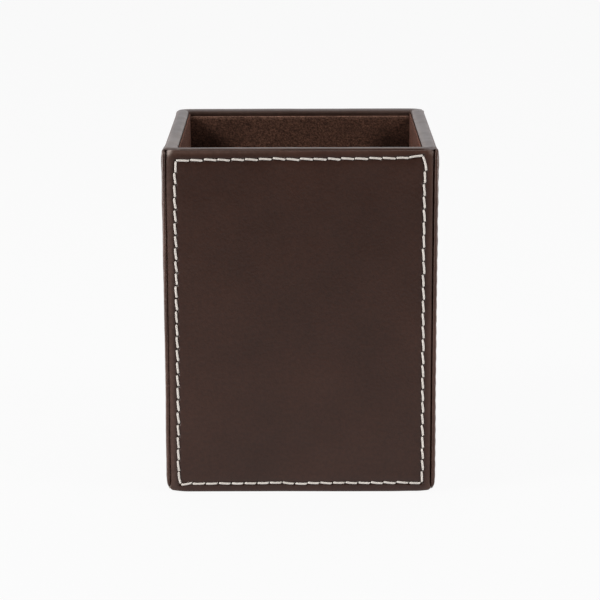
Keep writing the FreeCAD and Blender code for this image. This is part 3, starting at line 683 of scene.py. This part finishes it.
                # painted highlight round each upper corner, and a painted glint streak down from it, stronger on the
                # left
                corner_glint_mask = np.maximum(corner_glint_mask, (drop / 0.46) ** 2 * (1.0 - smooth(0.8, 6.5, away)))
                at_u, at_z = (37.85, 102.95) if sign < 0 else (38.05, 102.75)
                streak = np.hypot((sign * u - at_u) + (z - at_z), 0.55 * ((sign * u - at_u) - (z - at_z)))
                scuff += (1.3 if sign < 0 else 0.32) * np.exp(-(streak / (0.80 if sign < 0 else 0.75)) ** 2)
            v[:, 1] += 0.15 * (1.0 - smooth(-17.0, 0.0, u)) * smooth(101.8, 103.2, z) * smooth(-0.92, -0.70, w)
            near_ends = smooth(101.2, 102.8, z) + 1.0 - smooth(1.5, 4.5, z)
            v[:, 0] += (-0.04 + 0.13 * near_ends) * smooth(36.5, 38.4, u)
    # wear and painted highlight: the panel's edges are lighter, less so at the foot, and more round the upper corners
    edge_band = np.minimum(np.minimum(span - np.abs(u), high - z), 9.0 + 0.0 * z)
    wear_and_highlight = (1.5 * np.exp(-(np.maximum(0.0, edge_band - 0.35) / 0.95) ** 2)
                 * (0.35 + 0.65 * smooth(low + 1.5, low + 5.0, z)) + 1.3 * corner_glint_mask)
    if wall == "front":
        # painted highlight: the upright margins are lighter toward the head, the left one more, where the light from
        # the upper left falls
        at_side = span - np.abs(u)
        wear_and_highlight += (np.where(u < 0, 1.1, 0.6) * smooth(30, 85, z) + 0.3 * (u < 0) * (1.0 - smooth(55, 85, z))) \
            * np.exp(-((at_side - 1.0) / 0.95) ** 2)
        # painted glint: a pale tint along the left margin and along the left of the head
        scuff += (0.035 + 0.020 * smooth(40, 80, z)) * (u < 0) * np.exp(-((at_side - 1.0) / 0.95) ** 2)
        scuff += 0.065 * (1.0 - smooth(-17.0, 0.0, u)) * np.exp(-((high - z - 0.42) / 0.34) ** 2)
        # painted highlight also along the left of the head, and round the lower corners
        wear_and_highlight += 1.0 * (1.0 - smooth(-17.0, 0.0, u)) * np.exp(-((high - z - 0.5) / 0.7) ** 2)
        wear_and_highlight += 1.1 * np.exp(-((depth_in - 0.6) / 0.8) ** 2) * smooth(34.5, 37.5, np.abs(u)) * (1.0 - smooth(2.5, 7.0, z))
    # painted shade in the sewn furrow along each seam
    seam_painted_shade = np.exp(-(dist / 0.75) ** 2) * on_face

    # back: hem behind the card, the card's space, and the leather's inner face
    back = [(0.60, -1.20), (3.0, -1.20), (6.0, -1.20), (6.0, -0.92), (0.62, -0.92)]
    hem_rings = [rings[0]]
    verts = [tuple(p) for p in v]
    for d, h in back:
        foot_d = d + (1.2 if d > 0.5 else 0.0)
        pts, _ = ring(-span + d, span - d, low + foot_d, high - d, (0.6, 0.6, 0.3, 0.3), shares)
        start = len(verts)
        hem_rings.append(list(range(start, start + len(pts))))
        verts.extend((p[0], p[1], h) for p in pts)
    pts, _ = ring(-span + 0.62, span - 0.62, low + 1.82, high - 0.62, (0.6, 0.6, 0.3, 0.3), shares)
    start = len(verts)
    hem_rings.append(list(range(start, start + len(pts))))
    verts.extend((p[0], p[1], -0.70) for p in pts)
    loft([r[::-1] for r in hem_rings], faces)
    inner, triangles = fill(pts, 9.0, 6.0)
    start = len(verts)
    verts.extend((p[0], p[1], -0.70) for p in inner)
    first = hem_rings[-1][0]
    for t in triangles:
        faces.append(tuple(first + i if i < n else start + i - n for i in t)[::-1])
    extra = len(verts) - len(v)
    v = np.array(verts)
    if front_end:
        clear = -1.17 - 0.11 * smooth(100.4, 102.0, v[:, 1])
        end_in = span - v[:, 0] * front_end
        if wall == "right":
            clear = -1.11
            v[:, 2] -= 0.13 * (1.0 - smooth(0.80, 1.15, end_in)) * smooth(-0.60, -0.95, v[:, 2])
        limit = np.minimum(-1.20, clear) + (clear - np.minimum(-1.20, clear)) * (1.0 - smooth(1.3, 1.9, end_in))
        v[:, 2] = np.maximum(v[:, 2], limit)
    shift = -0.10 if wall == "front" else 0.0
    world = turned(np.stack([v[:, 0] + shift, -(HALF + v[:, 2]), v[:, 1]], 1), turns)
    obj = make(wall + "_panel_leather", world, faces, PANEL_MAT,
               replaces=(wall + "_leather",),
               values={"wear_and_highlight": np.concatenate([wear_and_highlight, np.zeros(extra)]),
                       "seam_painted_shade": np.concatenate([seam_painted_shade, np.zeros(extra)]),
                       "scuff": np.concatenate([scuff, np.zeros(extra)])})
    return obj, (tops, rights, lows, lefts)


def thread_piece(start, end, rng, bow=0.0, shear_a=0.0, shear_b=0.0):
    """One stitch as a closed tube of twisted thread between two needle holes, at (u, z)."""
    a, b = np.array(start), np.array(end)
    run = float(np.hypot(*(b - a)))
    along = (b - a) / run
    across = np.array([-along[1], along[0]])
    crown = -0.115 + rng.uniform(-0.025, 0.025)
    sag = rng.uniform(0.0, 0.03)
    keys = [(0.40, -0.98), (0.355, -0.62), (0.38, -0.40), (0.48, -0.235), (0.69, crown - 0.02), (1.05, crown + 0.01),
            (run / 2, crown - sag),
            (run - 1.05, crown + 0.01), (run - 0.69, crown - 0.02), (run - 0.48, -0.235), (run - 0.38, -0.40),
            (run - 0.355, -0.62), (run - 0.40, -0.98)]
    ks = np.array(keys)
    lengths = np.concatenate([[0], np.cumsum(np.hypot(np.diff(ks[:, 0]), np.diff(ks[:, 1])))])
    steps = 33
    # sections closer together at the turns
    x = np.linspace(-1, 1, steps)
    t = (x - 0.36 * np.sin(math.pi * x) / math.pi * -1.0)
    t = (t - t[0]) / (t[-1] - t[0]) * lengths[-1]

    def curve(values):
        out = []
        for s in t:
            i = int(np.clip(np.searchsorted(lengths, s) - 1, 0, len(lengths) - 2))
            h = (s - lengths[i]) / (lengths[i + 1] - lengths[i])
            p1, p2 = values[i], values[i + 1]
            span_i = lengths[i + 1] - lengths[i]
            m1 = 0.0 if i == 0 else (p2 - values[i - 1]) / (lengths[i + 1] - lengths[i - 1])
            m2 = 0.0 if i + 2 >= len(values) else (values[i + 2] - p1) / (lengths[i + 2] - lengths[i])
            h2, h3 = h * h, h * h * h
            out.append((2 * h3 - 3 * h2 + 1) * p1 + (h3 - 2 * h2 + h) * span_i * m1
                       + (-2 * h3 + 3 * h2) * p2 + (h3 - h2) * span_i * m2)
        return np.array(out)
    s_along, s_up = curve(ks[:, 0]), curve(ks[:, 1])
    wobble = bow * np.sin(np.pi * np.clip(s_along / run, 0, 1))
    centre = np.stack([a[0] + along[0] * s_along + across[0] * wobble,
                       a[1] + along[1] * s_along + across[1] * wobble, s_up], 1)
    tangent = np.gradient(centre, axis=0)
    tangent /= np.linalg.norm(tangent, axis=1)[:, None]
    side = np.array([across[0], across[1], 0.0])
    sides = 14
    phase = rng.uniform(0, 6.28)
    pts = []
    for k in range(steps):
        tg = tangent[k]
        sd = side - tg * (side @ tg)
        sd /= np.linalg.norm(sd)
        up = np.cross(sd, tg)
        if up[2] < -1e-9:
            up = -up
        flat = float(np.clip((centre[k][2] + 0.42) / 0.28, 0, 1))
        flat = flat * flat * (3 - 2 * flat)
        width = 0.282 + 0.03 * flat
        tall = 0.19 + 0.085 * flat
        turn = phase + 2.3 * (t[k] - t[0])
        near_a = float(np.clip(1 - (s_along[k] - 0.4) / 0.9, 0, 1))
        near_b = float(np.clip(1 - (run - s_along[k] - 0.4) / 0.9, 0, 1))
        lean = shear_a * near_a + shear_b * near_b
        for j in range(sides):
            th = 2 * math.pi * j / sides
            lobes = 1.0 - 0.075 * (0.5 - 0.5 * math.cos(2 * (th - turn)))
            offset = math.cos(th) * width * lobes
            p = centre[k] + sd * offset + up * (math.sin(th) * tall * lobes)
            p[0] += along[0] * lean * offset
            p[1] += along[1] * lean * offset
            pts.append(p)
    faces = []
    for k in range(steps - 1):
        for j in range(sides):
            j2 = (j + 1) % sides
            faces.append((k * sides + j, k * sides + j2, (k + 1) * sides + j2, (k + 1) * sides + j))
    faces.append(tuple(range(sides))[::-1])
    faces.append(tuple((steps - 1) * sides + j for j in range(sides)))
    return pts, faces


def stitching(wall, turns, seams):
    rng = random.Random({"front": 101, "right": 102, "back": 103, "left": 104}[wall])
    tops, rights, lows, lefts = seams
    verts, faces = [], []

    def add(p, q, **more):
        pts, fcs = thread_piece(p, q, rng, **more)
        base = len(verts)
        verts.extend(pts)
        faces.extend(tuple(base + i for i in f) for f in fcs)

    outward = (0.07, 0.09, -0.08, -0.05)
    if wall == "front":
        for row, line in enumerate(FRONT_STITCHES):
            for i, (ua, za, ub, zb) in enumerate(line):
                bow = outward[row] + rng.uniform(-0.03, 0.03)
                if row == 1 and i == 0:
                    bow = 0.28
                elif row == 3 and i == len(line) - 1:
                    bow = -0.20
                shear = (0.22, -0.12, 0.5, -0.12)[row]
                add((ua + 0.10, za), (ub + 0.10, zb), bow=bow, shear_a=shear, shear_b=shear)
    for row, line in enumerate((tops, rights, lows, lefts) if wall != "front" else ()):
        level = row in (0, 2)
        pairs = list(zip(line, line[1:]))
        for i, (p, q) in enumerate(pairs):
            first, last = i == 0, i == len(pairs) - 1
            bow = rng.uniform(-0.05, 0.05)
            if level:
                lean = (0.17 if row == 0 else 0.10) + rng.uniform(-0.07, 0.07)
                if row == 2 and rng.random() < 0.28:
                    lean = -0.08
                start = (p[0], p[1] + lean * (0.3 if first else 1.0))
                end = (q[0], q[1] - lean * (0.2 if last else 1.0))
                bow += outward[row]
                add(start, end, bow=bow, shear_a=0.22 if row == 0 else 0.5, shear_b=0.22 if row == 0 else 0.5)
            else:
                lean = 0.19 + rng.uniform(-0.06, 0.06)
                start = (p[0] - lean * (-0.2 if first else 1.0), p[1])
                end = (q[0] + lean * (0.2 if last else 1.0), q[1])
                bow += outward[row]
                add(start, end, bow=bow, shear_a=-0.12, shear_b=-0.12)
    v = np.array(verts)
    shift = -0.10 if wall == "front" else 0.0
    world = turned(np.stack([v[:, 0] + shift, -(HALF + v[:, 2]), v[:, 1]], 1), turns)
    return make(wall + "_thread", world, faces, THREAD_MAT, replaces=(wall + "_stitching",))


for wall, turns in WALLS:
    piece, seams = panel(wall, turns)
    stitching(wall, turns, seams)

# ------------------------------------------------------------- rim and cover
# Section of the leather that covers the boards: distance from the middle of the stand, height, corner radius.
SECTION = [
    (35.63, 91.6, 0.30), (35.60, 96.0, 0.30), (35.60, 101.0, 0.30), (35.64, 101.6, 0.32), (35.74, 101.95, 0.35),
    (35.80, 102.22, 0.38), (35.79, 102.45, 0.38), (35.73, 102.68, 0.38), (35.65, 102.90, 0.38),
    (35.60, 103.12, 0.38), (35.61, 103.30, 0.38), (35.69, 103.46, 0.40), (35.84, 103.59, 0.44),
    (36.06, 103.70, 0.50), (36.35, 103.80, 0.60), (36.70, 103.88, 0.74), (37.10, 103.945, 0.92),
    (37.50, 103.985, 1.12), (37.90, 104.0, 1.34), (38.30, 104.0, 1.54), (38.62, 103.965, 1.70),
    (38.88, 103.885, 1.82), (39.06, 103.775, 1.90), (39.15, 103.64, 1.94), (39.18, 103.49, 1.94),
    (39.12, 103.34, 2.30), (39.02, 103.26, 2.1), (38.90, 103.18, 1.6), (38.80, 103.02, 0.9), (38.80, 100.0, 0.62),
    (38.80, 60.0, 0.62), (38.80, 20.0, 0.62),
    (38.80, 1.5, 0.62), (38.77, 1.15, 0.62), (38.66, 0.92, 0.6), (38.45, 0.82, 0.55), (34.0, 0.80, 0.5),
    (30.3, 0.80, 0.4), (30.3, 1.28, 0.4), (34.0, 1.28, 0.2), (38.28, 1.28, 0.05), (38.32, 1.32, 0.03),
    (38.32, 50.0, 0.03), (38.32, 103.46, 0.03), (38.28, 103.52, 0.03), (37.2, 103.52, 0.03), (36.12, 103.52, 0.03),
    (36.08, 103.48, 0.03), (36.08, 98.0, 0.03), (36.08, 91.6, 0.03)]


def cover():
    n_side, arc = 150, 10
    shares = (even(n_side), even(n_side), even(n_side), even(n_side), arc)
    verts, rings = [], []
    for o, z, r in SECTION:
        pts, nrm = ring(-o, o, -o, o, (r, r, r, r), shares)
        zz = np.full(len(pts), z)
        if o > 36.0 and z > 103.3:
            out = smooth(36.6, 39.2, np.full(len(pts), o))
            corner = smooth(0.35, 0.71, np.minimum(np.abs(nrm[:, 0]), np.abs(nrm[:, 1])))
            near_corner = smooth(34.5, 39.0, np.minimum(np.abs(pts[:, 0]), np.abs(pts[:, 1])))
            zz = zz - 0.13 * out * np.maximum(corner, near_corner)
        start = len(verts)
        rings.append(list(range(start, start + len(pts))))
        verts.extend((p[0], p[1], h) for p, h in zip(pts, zz))
    v = np.array(verts)
    # the folded corners stand out a little at the front, as the panels' corners do
    lip = smooth(38.0, 39.0, np.abs(v[:, 0])) * smooth(103.1, 103.4, v[:, 2])
    at_front = smooth(35.0, 38.8, -v[:, 1])
    v[:, 0] += 0.16 * (v[:, 0] > 0) * lip * at_front
    v[:, 0] -= 0.20 * (v[:, 0] < 0) * lip * smooth(31.0, 38.5, -v[:, 1])
    v[:, 0] += (v[:, 0] > 0) * lip * (0.10 + 0.15 * smooth(-30.0, 10.0, v[:, 1]))
    v[:, 0] += (v[:, 0] < 0) * lip * -0.05 * smooth(-20.0, 10.0, v[:, 1])
    v[:, 2] -= 0.10 * at_front * smooth(37.2, 39.2, v[:, 0]) * (v[:, 2] > 103.5)
    v[:, 2] += 0.14 * smooth(16.0, 36.0, -v[:, 1]) * smooth(35.0, 36.5, -v[:, 0]) * (v[:, 2] > 103.53)
    v[:, 2] -= 0.20 * smooth(37.2, 38.9, -v[:, 1]) * smooth(34.0, 36.0, -v[:, 0]) * (v[:, 2] > 103.53)
    v[:, 2] += 0.06 * smooth(16.0, 34.0, -v[:, 1]) * smooth(35.0, 36.5, v[:, 0]) * (v[:, 2] > 103.53)
    v[:, 2] -= (0.32 * smooth(37.4, 39.9, -v[:, 1] + 0.45 * (v[:, 0] - 35.6)) * smooth(35.2, 36.6, v[:, 0])
                * smooth(35.2, 36.6, -v[:, 1]) * (v[:, 2] > 103.53))
    v[:, 2] -= 0.12 * smooth(26.0, 37.0, -v[:, 1]) * smooth(37.0, 38.6, v[:, 0]) * (v[:, 2] > 103.53)
    v[:, 2] += 0.12 * lip * at_front * (v[:, 2] < 103.5)
    # the back stands a hair higher
    v[:, 2] += 0.12 * smooth(20.0, 37.5, v[:, 1]) * smooth(103.53, 103.6, v[:, 2])
    # hand-worked leather is never quite straight
    top = smooth(102.9, 103.6, v[:, 2]) * smooth(35.0, 35.7, np.maximum(np.abs(v[:, 0]), np.abs(v[:, 1])))
    outer = np.maximum(np.abs(v[:, 0]), np.abs(v[:, 1]))
    free = top * (1 - smooth(38.25, 38.35, outer) * (1 - smooth(38.4, 38.6, outer)))
    on_top = (np.abs(v[:, 2] - 103.52) > 0.05)
    v[:, 2] += 0.035 * waves(v[:, 0], v[:, 1], 5.0, 11.0, 2) * free * on_top
    faces = []
    loft(rings + [rings[0]], faces)
    # painted highlights along the rim's inner and outer edges and as a band on the back's inner face, and a painted
    # sheen growing toward the front of the left rim
    inner_edge_highlight = 1.5 * np.exp(-((outer - 35.9) / 0.70) ** 2) * smooth(103.0, 103.45, v[:, 2])
    at_back = smooth(33.0, 35.5, v[:, 1]) * (v[:, 1] > np.abs(v[:, 0]) - 1.0)
    inner_edge_highlight += at_back * (2.8 * np.exp(-((v[:, 2] - 102.95) / 0.45) ** 2) * (outer < 36.0) - inner_edge_highlight)
    outer_edge_highlight = 1.3 * np.exp(-((outer - 38.9) / 0.45) ** 2) * smooth(103.50, 103.75, v[:, 2])
    left_front_sheen = 1.1 * smooth(0.0, -28.0, v[:, 1]) * smooth(-30.0, -35.0, v[:, 0]) * smooth(103.3, 103.5, v[:, 2])
    left_front_sheen *= 1.0 - smooth(-37.7, -38.6, v[:, 1])
    outer_edge_highlight *= 0.35 + 0.65 * smooth(30.0, 38.0, -v[:, 1]) * (1.0 - smooth(35.2, 36.8, np.abs(v[:, 0])))
    return make("rim_cover_leather", v, faces, RIM_MAT, replaces=("rim_cover",),
                values={"wear_and_highlight": np.maximum(inner_edge_highlight, outer_edge_highlight) + left_front_sheen, "seam_painted_shade": np.zeros(len(v)), "scuff": np.zeros(len(v))})


cover()

# -------------------------------------------------------------------- lining
def slab(name, left, right, low, high, front, back, radii, spacing, place, material, replaces,
         edge=0.22, relief=0.04, seed=1.0, arc=5, step=1.0, upright=1.0):
    """A soft sheet with rounded edges and a napped face. front and back are depths; place turns (u, z, w) points
    into the frame."""
    n_u = max(8, int((right - left) / step))
    n_z = max(8, int((high - low) / step))
    shares = (even(n_u), even(n_z), even(n_u), even(n_z), arc)
    thick = front - back
    e = min(edge, thick / 2 * 0.98)
    path = []
    for i in range(5):
        t = (math.pi / 2) * i / 4
        path.append((e * (1 - math.sin(t)) , back + e * (1 - math.cos(t))))
    for i in range(7):
        t = (math.pi / 2) * i / 6
        path.append((e * (1 - math.cos(t)), front - e * (1 - math.sin(t))))
    path.append((e + 0.25, front))
    path.append((e + 0.7, front))
    verts, rings = [], []
    for d, w in path:
        r = [max(q - d, 0.12) for q in radii]
        pts, _ = ring(left + d, right - d, low + d, high - d, r, shares)
        start = len(verts)
        rings.append(list(range(start, start + len(pts))))
        verts.extend((p[0], p[1], w) for p in pts)
    faces = []
    loft(rings, faces)
    n = len(rings[0])
    outline = np.array([verts[i][:2] for i in rings[-1]])
    inner, triangles = fill(outline, spacing, spacing * 0.8)
    start = len(verts)
    verts.extend((p[0], p[1], front) for p in inner)
    for t in triangles:
        faces.append(tuple(rings[-1][0] + i if i < n else start + i - n for i in t))
    outline = np.array([verts[i][:2] for i in rings[0]])
    inner, triangles = fill(outline, spacing * 6, spacing * 5)
    start = len(verts)
    verts.extend((p[0], p[1], back) for p in inner)
    for t in triangles:
        faces.append(tuple(rings[0][0] + i if i < n else start + i - n for i in t)[::-1])
    v = np.array(verts)
    mid = (front + back) / 2
    soft = smooth(mid, front, v[:, 2]) if front > back else smooth(mid, back, v[:, 2])
    at_upright = np.minimum(v[:, 0] - left, right - v[:, 0]) < np.minimum(v[:, 1] - low, high - v[:, 1]) - 0.1
    v[:, 2] = np.where(at_upright & (v[:, 2] > mid), front - (front - v[:, 2]) * upright, v[:, 2])
    v[:, 2] += relief * soft * (waves(v[:, 0], v[:, 1], seed, 1.7, 2) + 1.2 * waves(v[:, 0], v[:, 1], seed + 3, 17.0, 1)) * 0.6
    # painted shade toward the upright corners of the lining: below the top on the front and back walls, near the top
    # on the side walls
    if upright < 1.0:
        painted_corner_shade = smooth(17.0, 29.0, np.abs(v[:, 0])) * (1.0 - smooth(93.0, 101.0, v[:, 1]))
    else:
        painted_corner_shade = smooth(31.0, 34.8, np.abs(v[:, 0])) * smooth(94.0, 101.0, v[:, 1])
    return make(name, place(v), faces, material, replaces=(replaces,), values={"painted_corner_shade": painted_corner_shade}), v


for wall, turns in WALLS:
    half = LINING_BACK - 0.02 if turns % 2 else LINING_FACE - 0.03
    head = {"front": 102.35, "right": 103.05, "back": 102.15, "left": 103.14}[wall]
    slab(wall + "_lining_velour", -half, half, LINING_FOOT + 0.02, head, 0.0, -(LINING_BACK - LINING_FACE),
         (0.15, 0.15, 0.3, 0.3), 0.9,
         lambda v, t=turns: turned(np.stack([v[:, 0], -(LINING_FACE - v[:, 2]), v[:, 1]], 1), t),
         SIDE_LINING_SHADED_MAT if turns % 2 else LINING_MAT, wall + "_lining", seed=20.0 + turns,
         relief=0.05, upright=1.0 if turns % 2 else 0.25)

slab("floor_lining_velour", -35.5, 35.5, -35.5, 35.5, 3.98, 3.52, (0.3, 0.3, 0.3, 0.3), 1.0,
     lambda v: v, FLOOR_MAT, "floor_lining", seed=31.0, relief=0.05)

slab("base_pad_velour", -37.4, 37.4, -37.4, 37.4, 0.0, 0.78, (3.0, 3.0, 3.0, 3.0), 1.1,
     lambda v: v * np.array([1.0, 1.0, 1.0]), BASE_MAT, "base_pad", seed=40.0, relief=0.0, edge=0.25)

# ------------------------------------------------- boards and cards from CAD
for name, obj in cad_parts.items():
    if name.endswith("_board"):
        mat = BOARD_MAT
    elif name.endswith("_card"):
        mat = CARD_MAT
    else:
        continue
    if not obj.material_slots:
        obj.data.materials.append(mat)
    for item in obj.material_slots:
        item.material = mat

# ------------------------------------------------------- floor, light, camera
mesh = bpy.data.meshes.new("table")
mesh.from_pydata([(-4, -4, 0), (4, -4, 0), (4, 4, 0), (-4, 4, 0)], [], [(0, 1, 2, 3)])
table = bpy.data.objects.new("table", mesh)
scene.collection.objects.link(table)
table.location.z = -0.00002
mat, tree, nodes, shader = new_material("pale_table")
for n in list(nodes):
    if n.type != "OUTPUT_MATERIAL":
        nodes.remove(n)
out = nodes["Material Output"]
glow = node(tree, "ShaderNodeEmission", Color=(1.0, 1.0, 1.0, 1.0))
place = node(tree, "ShaderNodeTexCoord")
split = node(tree, "ShaderNodeSeparateXYZ")
tree.links.new(place.outputs["Object"], split.inputs["Vector"])
fall = node(tree, "ShaderNodeMapRange")
fall.interpolation_type = "SMOOTHSTEP"
fall.inputs["From Min"].default_value = -0.55
fall.inputs["From Max"].default_value = -0.19
fall.inputs["To Min"].default_value = 0.15
fall.inputs["To Max"].default_value = 0.93
tree.links.new(split.outputs["Y"], fall.inputs["Value"])
seen = tree.nodes.new("ShaderNodeLightPath")
strength = tree.nodes.new("ShaderNodeMix")
tree.links.new(seen.outputs["Is Camera Ray"], strength.inputs["Factor"])
tree.links.new(fall.outputs["Result"], strength.inputs["A"])
strength.inputs["B"].default_value = 0.93
tree.links.new(strength.outputs["Result"], glow.inputs["Strength"])
matt = node(tree, "ShaderNodeBsdfDiffuse", Color=(0.03, 0.03, 0.03, 1.0))
add = tree.nodes.new("ShaderNodeAddShader")
tree.links.new(glow.outputs[0], add.inputs[0])
tree.links.new(matt.outputs[0], add.inputs[1])
tree.links.new(add.outputs[0], out.inputs["Surface"])
mesh.materials.append(mat)

world = bpy.data.worlds.new("studio")
scene.world = world
world.use_nodes = True
back = world.node_tree.nodes["Background"]
back.inputs["Color"].default_value = (0.97, 0.985, 1.0, 1.0)
tree = world.node_tree
direction = tree.nodes.new("ShaderNodeTexCoord")
split = tree.nodes.new("ShaderNodeSeparateXYZ")
tree.links.new(direction.outputs["Generated"], split.inputs["Vector"])
behind = tree.nodes.new("ShaderNodeMapRange")
behind.interpolation_type = "SMOOTHSTEP"
behind.inputs["From Min"].default_value = -0.25
behind.inputs["From Max"].default_value = 0.85
behind.inputs["To Min"].default_value = 0.16
behind.inputs["To Max"].default_value = 1.05
tree.links.new(split.outputs["Y"], behind.inputs["Value"])
seen = tree.nodes.new("ShaderNodeLightPath")
strength = tree.nodes.new("ShaderNodeMix")
tree.links.new(seen.outputs["Is Camera Ray"], strength.inputs["Factor"])
tree.links.new(behind.outputs["Result"], strength.inputs["A"])
strength.inputs["B"].default_value = 0.96
tree.links.new(strength.outputs["Result"], back.inputs["Strength"])


def softbox(name, place, aim, size, power, height=None):
    data = bpy.data.lights.new(name, "AREA")
    data.shape = "RECTANGLE"
    data.size = size
    data.size_y = height or size
    data.energy = power
    data.color = (1.0, 0.99, 0.975)
    lamp = bpy.data.objects.new(name, data)
    scene.collection.objects.link(lamp)
    lamp.location = place
    lamp.rotation_euler = (Vector(aim) - Vector(place)).to_track_quat("-Z", "Y").to_euler()
    return lamp


softbox("left_softbox", (-0.85, -0.42, 0.80), (0, 0, 0.08), 0.32, 7.8)
softbox("right_softbox", (0.85, -0.36, 0.80), (0, 0, 0.08), 0.40, 4.4)
softbox("top_softbox", (0.0, 0.10, 1.15), (0, 0, 0.08), 0.6, 2.6)
softbox("left_low_softbox", (-0.62, -0.11, 0.053), (0, -0.04, 0.053), 0.22, 3.0, 0.10)
softbox("right_low_softbox", (0.62, -0.11, 0.053), (0, -0.04, 0.053), 0.22, 2.3, 0.10)

camera_data = bpy.data.cameras.new("camera")
camera = bpy.data.objects.new("camera", camera_data)
scene.collection.objects.link(camera)
camera_data.sensor_fit = "HORIZONTAL"
camera_data.sensor_width = 36.0
camera_data.lens = 2263.9 * 36.0 / 600.0
camera_data.clip_start = 0.01
camera_data.clip_end = 20.0
camera_data.shift_x = -0.5 / 600.0
tilt = Matrix.Rotation(math.radians(90.0 - 13.207), 4, "X")
roll = Matrix.Rotation(math.radians(-0.16), 4, "Z")
camera.matrix_world = Matrix.Translation((0.0, -0.6856, 0.2107)) @ tilt @ roll
scene.camera = camera
